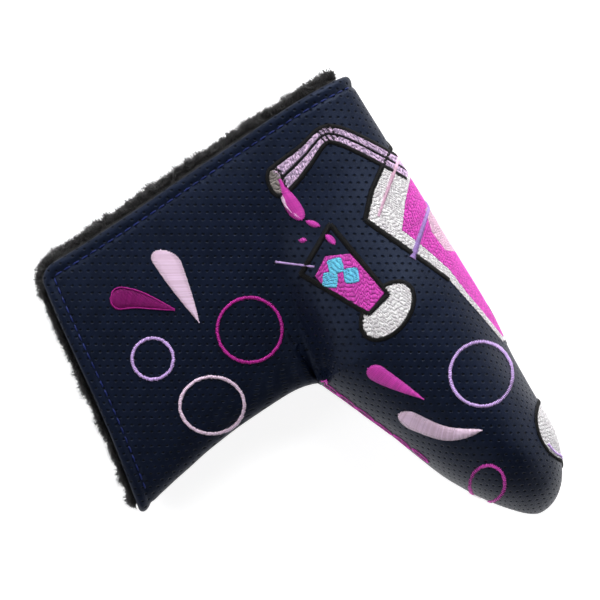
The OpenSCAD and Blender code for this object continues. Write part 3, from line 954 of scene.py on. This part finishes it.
class Thread:
    """Collects stitches, each a start and an end in flat coordinates, and makes them solid."""

    def __init__(self):
        self.rows = []

    def add(self, starts, ends, width, rise, tone=(0.5, 0.95)):
        n = len(starts)
        light = rng.uniform(*tone, n)
        self.rows.append(np.column_stack([starts, ends, np.full(n, width), np.full(n, rise), light]))
        return self

    def lay(self):
        """Turns stitches given in plan into flat coordinates."""
        rows = np.concatenate(self.rows)
        rows[:, :2], rows[:, 2:4] = skin.flat(rows[:, :2]), skin.flat(rows[:, 2:4])
        self.rows = [rows]

    def satin(self, line, width, spacing=0.36, rise=0.5, lean=0.18, loose=0.05):
        """Stitches side by side across a line. width is a number or a function of the share along."""
        place, way, share = resample(np.asarray(line, float), spacing)
        across = across_of(way)
        wide = np.array([width(s) for s in share]) if callable(width) else np.full(len(share), float(width))
        jitter = rng.uniform(-loose, loose, (len(share), 2))
        half = wide[:, None] / 2
        a = place + across * (half + jitter[:, :1]) + way * half * lean
        b = place - across * (half + jitter[:, 1:]) - way * half * lean
        return self.add(a, b, spacing * 1.12, rise)

    def fill(self, outline, angle=0.0, spacing=0.36, length=1.4, rise=0.24, holes=(), clear=()):
        """Rows of short staggered stitches over a closed outline, less its holes and what it clears."""
        a = math.radians(angle)
        turn = np.array([[math.cos(a), math.sin(a)], [-math.sin(a), math.cos(a)]])
        loops = [np.asarray(o, float) @ turn.T for o in (outline, *holes)]
        low, high = loops[0][:, 1].min(), loops[0][:, 1].max()
        cleared = [np.asarray(o, float) @ turn.T for o in clear]
        starts, ends = [], []
        for row in np.arange(low + spacing / 2, high, spacing):
            shift = rng.uniform(0, length)
            for x0, x1 in self.less(self.spans(loops, row), [self.spans([o], row) for o in cleared]):
                x = x0 + rng.uniform(-0.08, 0.08)
                stop = x1 + rng.uniform(-0.08, 0.08)
                nxt = (math.floor((x - shift) / length) + 1) * length + shift
                while x < stop - 0.25:
                    end = min(nxt + rng.uniform(-0.25, 0.25), stop)
                    if stop - end < 0.5:
                        end = stop
                    if end - x > 0.2:
                        starts.append((x, row))
                        ends.append((end, row))
                    x, nxt = end, nxt + length
        if starts:
            self.add(np.array(starts) @ turn, np.array(ends) @ turn, spacing * 1.15, rise, (0.1, 0.85))
        return self

    @staticmethod
    def spans(loops, row):
        """Where a row lies inside the loops."""
        cuts = []
        for loop in loops:
            nxt = np.roll(loop, -1, axis=0)
            hit = (loop[:, 1] <= row) != (nxt[:, 1] <= row)
            t = (row - loop[hit, 1]) / (nxt[hit, 1] - loop[hit, 1])
            cuts += (loop[hit, 0] + t * (nxt[hit, 0] - loop[hit, 0])).tolist()
        cuts.sort()
        return list(zip(cuts[::2], cuts[1::2]))

    @staticmethod
    def less(spans, taken):
        """Spans with every taken span cut out."""
        for low, high in (pair for group in taken for pair in group):
            kept = []
            for x0, x1 in spans:
                if high <= x0 or low >= x1:
                    kept.append((x0, x1))
                    continue
                kept += [(x0, low)] if low > x0 else []
                kept += [(high, x1)] if high < x1 else []
            spans = kept
        return spans

    def make(self, name, material):
        """Each stitch is an arched three-sided bar on the sheet, closed at both ends."""
        rows = np.concatenate(self.rows)
        rows = rows[np.linalg.norm(rows[:, 2:4] - rows[:, :2], axis=1) > STITCH_LEAST]
        starts, ends, widths, rises, light = rows[:, :2], rows[:, 2:4], *rows[:, 4:].T
        count, k = len(rows), STITCH_PLACES
        t = np.linspace(0, 1, k)
        line = starts[:, None] + (ends - starts)[:, None] * t[None, :, None]
        place, normal = skin.at(line.reshape(-1, 2))
        place, normal = place.reshape(count, k, 3), normal.reshape(count, k, 3)
        way = np.gradient(place, axis=1)
        side = unit(np.cross(normal, way))
        arch = 0.18 + 0.82 * np.sin(np.pi * t) ** 0.6
        top = (rises[:, None] * arch[None])[:, :, None]
        wide = (widths[:, None] / 2 * (0.7 + 0.3 * np.sin(np.pi * t))[None])[:, :, None]
        left = place + side * wide + normal * top * STITCH_SHOULDER
        ridge = place + normal * top
        right = place - side * wide + normal * top * STITCH_SHOULDER
        points = np.stack([left, ridge, right], 2).reshape(-1, 3)
        base = (np.arange(count) * k * 3)[:, None]
        pattern = []
        for j in range(k - 1):
            o, q = 3 * j, 3 * j + 3
            pattern += [(o, q, q + 1, o + 1), (o + 1, q + 1, q + 2, o + 2), (o + 2, q + 2, q, o)]
        quads = (base[:, :, None] + np.array(pattern)[None]).reshape(-1, 4)
        e = 3 * (k - 1)
        caps = (base[:, :, None] + np.array([(0, 1, 2), (e + 2, e + 1, e)])[None]).reshape(-1, 3)
        # Each stitch is painted darker towards its ends: painted shade where it goes down into the sheet.
        tone = light[:, None] * (0.75 + 0.25 * np.sin(np.pi * t))[None]
        tone = np.repeat(tone.reshape(-1), 3)
        faces = quads.tolist() + caps.tolist()
        return make_object(name, points, faces, MATERIALS[material], tone=tone)


def embroider(name, material, thread):
    """Makes a piece of embroidery. It stands for the CAD node of its name, where there is one."""
    obj = thread.make(name + "_thread", material)
    bend(obj)
    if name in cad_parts:
        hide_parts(name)


def circle(centre, rx, ry=None, n=90, turn=0.0):
    ry = rx if ry is None else ry
    a = np.linspace(0, 2 * math.pi, n, endpoint=False)
    c, s = math.cos(math.radians(turn)), math.sin(math.radians(turn))
    x, y = rx * np.cos(a), ry * np.sin(a)
    return np.stack([centre[0] + c * x - s * y, centre[1] + s * x + c * y], -1)


def loop(points):
    return np.concatenate([points, points[:1]])


def patch(corners):
    """A closed outline of straight stretches in plan, in flat coordinates."""
    return skin.flat(dense(corners, closed=True))


def outside(line, polygon):
    """The part of a closed line that isn't inside a polygon, as one run."""
    inside = [any(x0 <= u <= x1 for x0, x1 in Thread.spans([polygon], v)) for u, v in line[:-1]]
    inside = np.array(inside)
    first = int(np.argmax(inside & ~np.roll(inside, -1)))
    turned, hidden = np.roll(line[:-1], -first, axis=0), np.roll(inside, -first)
    return turned[~hidden]


# ---- rings and drops ----

RING_LINE = 1.05
RING_SPACING = 0.52
DROP_HEAD = 0.16  # the round head's share of a drop's length


def ring(name, material, centre, rx, ry=None, turn=0.0):
    """A ring stitched in plan, so that its line keeps its width where the sheet turns down."""
    line = loop(circle(centre, rx, ry, turn=turn))
    thread = Thread().satin(line, RING_LINE, RING_SPACING, rise=0.45, loose=0.1)
    thread.lay()
    embroider(name, material, thread)


def drop_widths(head, power=0.85):
    """Width along a drop from its round head to its point."""

    def width(s):
        if s < DROP_HEAD:
            return max(0.3, head * math.sqrt(max(1 - ((DROP_HEAD - s) / DROP_HEAD) ** 2, 0)))
        return max(0.35, head * (1 - ((s - DROP_HEAD) / (1 - DROP_HEAD)) ** 1.15) ** power)

    return width


def drop(name, material, spine, head, lean=0.18, power=0.85):
    line = skin.flat(curve(spine))
    thread = Thread().satin(line, drop_widths(head, power), spacing=0.38, rise=0.55, lean=lean)
    embroider(name, material, thread)


def drop_edge(spine, head):
    """The outline of a drop, just inside its stitches' ends."""
    place, way, share = resample(curve(spine), 0.5)
    half = across_of(way) * 0.47 * np.array([drop_widths(head)(s) for s in share])[:, None]
    return loop(np.concatenate([place + half, (place - half)[::-1]]))


ring("magenta_ring", "deep_magenta", (66.7, 51.5), 10.1)
ring("pink_ring", "pale_pink", (89, 65.4), 10.0, 8.9, turn=150)
ring("lilac_ring_neck", "lilac", (97.1, 43.4), 6.4)
ring("lilac_ring_pocket", "lilac", (12.6, 100.4), 9.9)
ring("magenta_ring_toe", "magenta", (28.8, 130.7), 6.1, 5.3, turn=55)

DARK_DROP = [(98.6, 20.6), (92, 24.8), (83.4, 33.9)]
PALE_DROP = [(77.3, 15.8), (78.1, 26.3), (78.9, 41.3)]
POCKET_DROP = [(41.6, 80.6), (37.6, 88), (31.9, 97.6)]
COMMA = [(40.8, 97.6), (38.7, 101.6), (33.3, 108.7), (28.4, 112.5), (21.7, 115.1)]
drop("magenta_drop_neck", "dark_magenta", DARK_DROP, 7.2)
rim = Thread().satin(skin.flat(drop_edge(DARK_DROP, 7.2)), 0.45, rise=0.6)
embroider("drop_rim", "deep_magenta", rim)
drop("pink_drop_neck", "pale_pink", PALE_DROP, 8.0, lean=0.5)
drop("magenta_drop_pocket", "magenta", POCKET_DROP, 5.8)
drop("pink_drop_pocket", "pale_pink", COMMA, 7.0, power=0.62)

# ---- straw and what pours from it ----

STRAW_MOUTH, CUP_EDGE = (34.2, 16.6), (2.6, 28.2)
STRAW_BEND = [(24.5, 14.4), (16.2, 11.9), (12.0, 13.9), (7.4, 20.2)]
STRAW_LINE = curve([STRAW_MOUTH, *STRAW_BEND, CUP_EDGE, (-1.5, 35.5)], 12)
STRAW_HALF = 3.9  # half its width at the mouth
STRAW_THINNER = 1.7


def straw_side(share):
    """A line along the straw, at a share of its half width to one side."""
    place, way, s = resample(STRAW_LINE, 0.8)
    half = STRAW_HALF - STRAW_THINNER * ease(s / 0.35)
    return place + across_of(way) * (half * share)[:, None]


def straw_band(near, far):
    return skin.flat(np.concatenate([straw_side(near), straw_side(far)[::-1]]))


straw = Thread()
for sign in (-1, 1):
    straw.fill(straw_band(0.12 * sign, 0.95 * sign), 78, spacing=0.38, length=1.7, rise=0.42)
embroider("straw_fill", "straw", straw)

outline = Thread()
for sign in (1, -1):
    outline.satin(skin.flat(straw_side(1.12 * sign)), 1.6)
outline.satin(skin.flat(STRAW_LINE), 0.75)
for k in range(4):
    at = 12.4 + 1.35 * k
    for near, far in ((9.7, 11.6), (12.4, 14.6)):
        outline.satin(skin.flat(dense([(at, near), (at - 0.35, far)])), 0.75, rise=0.65)
outline.satin(skin.flat(loop(circle((35.6, 16.5), 2.4, 4.5, turn=-14))), 1.5)
embroider("straw_outline", "black", outline)
mouth = Thread().fill(skin.flat(circle((35.6, 16.5), 1.9, 3.9, turn=-14)), 30, rise=0.5)
embroider("straw_mouth", "grey", mouth)


def pour_width(s):
    """Narrow where it leaves the straw, full below, and round at the end."""
    return max(0.4, (1.3 + 3.5 * float(ease(s / 0.6))) * float(round_end((s - 0.72) / 0.28)))


POUR = [(34.3, 16.6), (34.9, 21), (35.2, 25.5), (35.0, 30.9)]
DROPLETS = (
    ([(34.0, 31.9), (32.8, 33.6), (31.4, 35.4)], 1.9),
    ([(39.0, 35.8), (38.1, 36.4), (37.1, 37.0)], 1.7),
    ([(31.2, 38.7), (30.6, 40.4), (30.3, 42.6)], 2.1),
)
HIGHLIGHTS = (
    ([(36.3, 21.4), (36.9, 24.4), (36.5, 27.2)], 1.5),
    ([(35.9, 28.0), (35.6, 29.0), (35.2, 30.0)], 1.3),
)


def oval_width(wide):
    return lambda s: wide * math.sqrt(max(1 - (2 * s - 1) ** 2, 0.05))


pour = Thread().satin(skin.flat(curve(POUR)), pour_width, rise=0.75)
for spine, wide in DROPLETS:
    pour.satin(skin.flat(curve(spine)), oval_width(wide), rise=0.45)
embroider("poured_drops", "magenta", pour)
shine = Thread()
for spine, wide in HIGHLIGHTS:
    shine.satin(skin.flat(curve(spine)), drop_widths(wide), rise=0.9)
embroider("pour_highlight", "pale_pink", shine)

# ---- tumbler ----

TUMBLER_TOP = [(44.1, 45.1), (28.3, 36.6)]
TUMBLER = TUMBLER_TOP + [(24.4, 64.5), (32.7, 66.6)]
DRINK = [(34.7, 44.3), (27.8, 47.6), (24.9, 63.4), (32.4, 66.0), (39.7, 54.6), (40.6, 47.8)]
CUBES = [(33.6, 48.5, -16), (37.3, 51.4, -36), (31.0, 53.6, -24)]
CUBE = 2.35  # half a cube's side
COASTER = circle((27.2, 68.6), 10.2, 6.4, turn=20)


def cube_outline(x, y, turn):
    """A square with rounded corners."""
    a = np.linspace(0, 2 * math.pi, 40, endpoint=False)
    far = CUBE / (np.abs(np.cos(a)) ** 5 + np.abs(np.sin(a)) ** 5) ** 0.2
    turned = a + math.radians(turn)
    return np.stack([x + far * np.cos(turned), y + far * np.sin(turned)], -1)


cubes = [patch(cube_outline(*cube)) for cube in CUBES]
embroider("tumbler_drink", "magenta", Thread().fill(patch(DRINK), 65, holes=cubes))
ice = Thread()
for cube in cubes:
    ice.fill(cube, 20, rise=0.42)
embroider("ice_cubes", "cyan", ice)
glass = Thread().satin(skin.flat(loop(dense(TUMBLER, closed=True))), 1.8)
embroider("tumbler_outline", "black", glass)
in_front = patch(TUMBLER_TOP + [(24.0, 64.8), (32.9, 67.0)])
embroider("coaster", "off_white", Thread().fill(skin.flat(COASTER), 80, clear=(in_front,)))
coaster_edge = Thread().satin(outside(skin.flat(loop(COASTER)), in_front), 1.6, rise=0.44)
embroider("coaster_edge", "black", coaster_edge)
stirrer = Thread().satin(skin.flat(dense([(48.7, 37.7), (39.4, 45.2)])), 0.7)
embroider("stirrer", "lilac", stirrer)

# ---- big cup over the sole fold ----

CUP_RIM = [(-6.0, 23.0), (-1.5, 25.4), (5.7, 30.2), (12.2, 34.8), (18.3, 41.2), (11.9, 56.0), (5.9, 70.4)]
CUP_WALL = [(4.7, 77.0), (3.4, 84.2), (1.6, 95.7), (-6.0, 97.0)]
DRINK_TOP = [(-6.0, 34.0), (-1.3, 36.7), (4.5, 42.5), (10.3, 49.8)]
DRINK_SIDE = [(7.3, 57.7), (4.1, 68.1), (3.3, 77.0), (2.1, 84.0), (0.7, 94.3), (-6.0, 95.0)]
GLINT = [(-4.5, 46.5), (0.6, 48.0), (2.6, 55.0), (2.0, 62.0), (0.3, 63.5), (-4.5, 66.0)]
PINK_STICK = [(-2.6, 28.6), (14.2, 42.2)]
LILAC_STICK = [(-3.0, 46.2), (12.0, 58.9)]
cup, cup_drink, glint = patch(CUP_RIM + CUP_WALL), patch(DRINK_TOP + DRINK_SIDE), patch(GLINT)
in_front = straw_band(0.98, -0.98)
embroider("cup_wall", "off_white", Thread().fill(cup, 95, holes=(cup_drink,), clear=(in_front,)))
embroider("cup_drink", "magenta", Thread().fill(cup_drink, 30, clear=(glint, in_front)))
embroider("cup_glint", "soft_pink", Thread().fill(glint, 30))
edge = Thread().satin(skin.flat(dense(CUP_RIM[::-1] + [CUP_WALL[-1]])), 1.9)
embroider("cup_outline", "black", edge)
stick = Thread().satin(skin.flat(dense(PINK_STICK)), lambda s: 2.1 - 1.1 * s, rise=0.62)
embroider("crossed_straws", "soft_pink", stick)
stick = Thread().satin(skin.flat(dense(LILAC_STICK)), lambda s: 1.2 + 1.0 * s, rise=0.62)
embroider("lilac_stick", "dusky_lilac", stick)

# ---- toe and inner edge ----

TOE_DISC = circle((0.8, 128), 6.6, 10.6, turn=-8)
TOE_BAND = curve([(6.3, 130.0), (5.7, 133.6), (3.9, 136.6)], 12)
embroider("toe_disc", "off_white", Thread().fill(skin.flat(TOE_DISC), 70))
embroider("toe_edge", "black", Thread().satin(skin.flat(loop(TOE_DISC)), 1.5))
embroider("toe_band", "lilac", Thread().satin(skin.flat(TOE_BAND), 1.3, rise=0.6))

ovals = Thread()
for k in range(6):
    y = ELBOW_Y + 2.6 + 6.6 * k
    centre = skin.flat([(float(straight_inner(y)) - 0.4, y)])[0] + [0.75 * k - 2.9, 0.0]
    ovals.satin(loop(circle(centre, 1.9, 3.2, turn=23, n=50)), 0.85, rise=0.45)
    ovals.satin(circle(centre, 0.35, 1.5, turn=23, n=2), 0.7, rise=0.4)
embroider("oval_row", "magenta", ovals)


# ---- hem stitches ----


STITCH_LONG = 2.5
STITCH_GIRTH = 0.25
STITCH_RISE = 0.32
STITCH_RINGS = 7
STITCH_SIDES = 6


def hem_rail(surface, sign):
    """Places and normals along the hem's groove on one panel."""
    points, _, _, faces = surface
    tree = BVHTree.FromPolygons(points.tolist(), faces)
    line = [(x, heel_line(x) + STITCH_INSET) for x in np.arange(0.2, HEEL_LEN - 1, 0.2)]
    line += [(neck_end(y) - STITCH_INSET / math.cos(SLANT), y) for y in np.arange(0.2, NECK_W + 3, 0.2)]
    rail = []
    for x, y in line:
        hit = tree.ray_cast(Vector((x, y, 60.0 * sign)), Vector((0, 0, -sign)))
        if open_distance(x, y) > STITCH_INSET - 0.05 and hit[0] is not None:
            rail.append((*hit[0], *hit[1]))
    return np.array(rail)


def hem_stitches(name, side, surface, *nodes):
    """Short round stitches that sit in the hem's groove on one panel."""
    rail = hem_rail(surface, 1 if side == "front" else -1)
    run = run_along(rail[:, :3])

    def at(place):
        found = np.array([np.interp(place, run, column) for column in rail.T])
        return found[:3], found[3:]

    verts, faces, tone = [], [], []
    n = STITCH_SIDES
    for s in np.arange(1.5, run[-1] - STITCH_LONG, STITCH_PITCH):
        light = rng.uniform(0.3, 0.9)
        o = len(verts)
        for t in np.linspace(0, 1, STITCH_RINGS):
            place, up = at(s + STITCH_LONG * t)
            across = np.cross(up, unit(at(s + STITCH_LONG * t + 0.1)[0] - place))
            girth = STITCH_GIRTH * (0.35 + 0.65 * math.sin(math.pi * t) ** 0.5)
            centre = place + up * (STITCH_RISE * math.sin(math.pi * t) - 0.1)
            for a in np.radians(np.arange(0, 360, 360 / n)):
                verts.append(centre + girth * (across * math.cos(a) + up * math.sin(a)))
                tone.append(light)
        for r in range(o, len(verts) - n, n):
            for c in range(n):
                d = (c + 1) % n
                faces.append((r + c, r + d, r + n + d, r + n + c))
        faces.append(tuple(range(o + n - 1, o - 1, -1)))
        faces.append(tuple(range(len(verts) - n, len(verts))))
    obj = make_object(name, verts, faces, MATERIALS["blue"], tone=tone)
    bend(obj)
    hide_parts(*nodes)


hem_stitches("stitches_front", "front", front_skin, "stitches_corners", "stitches_front_flap")
hem_stitches("stitches_back", "back", back_skin, "stitches_back_flap")

# ---- CAD pieces that stay ----

for node, material in (
    ("magnet_front", "magnet"),
    ("magnet_back", "magnet"),
    ("magnet_pouch_front", "pouch"),
    ("magnet_pouch_back", "pouch"),
    ("closing_seam", "seam"),
):
    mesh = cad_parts[node].data
    mesh.materials.clear()
    mesh.materials.append(MATERIALS[material])

# ---- soft pieces' flat sizes, worked out ----

declare(front_panel, front_grid)
declare(back_panel, back_grid)
declare(lining_front, lining_front_grid)
declare(lining_back, lining_back_grid)

# ---- floor, light and camera ----

IMAGE_RIGHT = Vector((-0.853, 0.522, 0)).normalized()
IMAGE_UP = Vector((-0.522, -0.853, 0)).normalized()
CENTRE = Vector(to_row((48.5, 51.7, 0)))


CAMERA_HIGH = 1.815
LENS = 346.0
FLOOR_SIZE = 6.0
FLOOR_Z = -0.0004
WORLD_LIGHT = 0.02

# name, way from the centre, height, size, power
LIGHTS = (
    ("key", IMAGE_UP + IMAGE_RIGHT * 0.15, 0.46, 0.8, 21.0),
    ("left", IMAGE_UP * 0.2 - IMAGE_RIGHT, 0.50, 0.5, 5.5),
    ("right", IMAGE_RIGHT + IMAGE_UP * 0.1, 0.30, 0.3, 2.4),
    ("low", IMAGE_UP * -1.0 - IMAGE_RIGHT * 0.3, 0.75, 0.5, 3.4),
    ("top", IMAGE_UP * -0.2, 2.3, 0.8, 3.0),
)


def floor():
    n = Nodes("floor")
    n.link(n.mix(n.noise(6.0, 2.0), (0.55, 0.55, 0.56), (0.60, 0.60, 0.605)), "Base Color")
    n.set(Roughness=0.9, Emission_Color=(1, 1, 1, 1), Emission_Strength=0.8)
    bpy.ops.mesh.primitive_plane_add(size=FLOOR_SIZE, location=(0, 0, FLOOR_Z))
    plane = bpy.context.object
    plane.name = "floor"
    plane.data.materials.append(n.material)


def area_light(name, place, size, power):
    data = bpy.data.lights.new(name, "AREA")
    data.size = size
    data.energy = power
    obj = bpy.data.objects.new(name, data)
    bpy.context.scene.collection.objects.link(obj)
    obj.location = place
    obj.rotation_mode = "QUATERNION"
    obj.rotation_quaternion = (CENTRE - place).to_track_quat("-Z", "Y")


def studio():
    for name, way, high, size, power in LIGHTS:
        area_light(name, CENTRE + way + Vector((0, 0, high)), size, power)
    world = bpy.data.worlds.new("studio")
    world.use_nodes = True
    background = world.node_tree.nodes["Background"]
    background.inputs["Color"].default_value = (1, 1, 1, 1)
    background.inputs["Strength"].default_value = WORLD_LIGHT
    bpy.context.scene.world = world


def camera():
    data = bpy.data.cameras.new("camera")
    data.sensor_width = 36
    data.lens = LENS
    obj = bpy.data.objects.new("camera", data)
    bpy.context.scene.collection.objects.link(obj)
    turn = Matrix((IMAGE_RIGHT, IMAGE_UP, Vector((0, 0, 1)))).transposed()
    obj.matrix_world = Matrix.Translation(CENTRE + Vector((0, 0, CAMERA_HIGH))) @ turn.to_4x4()
    bpy.context.scene.camera = obj


floor()
studio()
camera()
bpy.context.scene.view_settings.view_transform = "Standard"
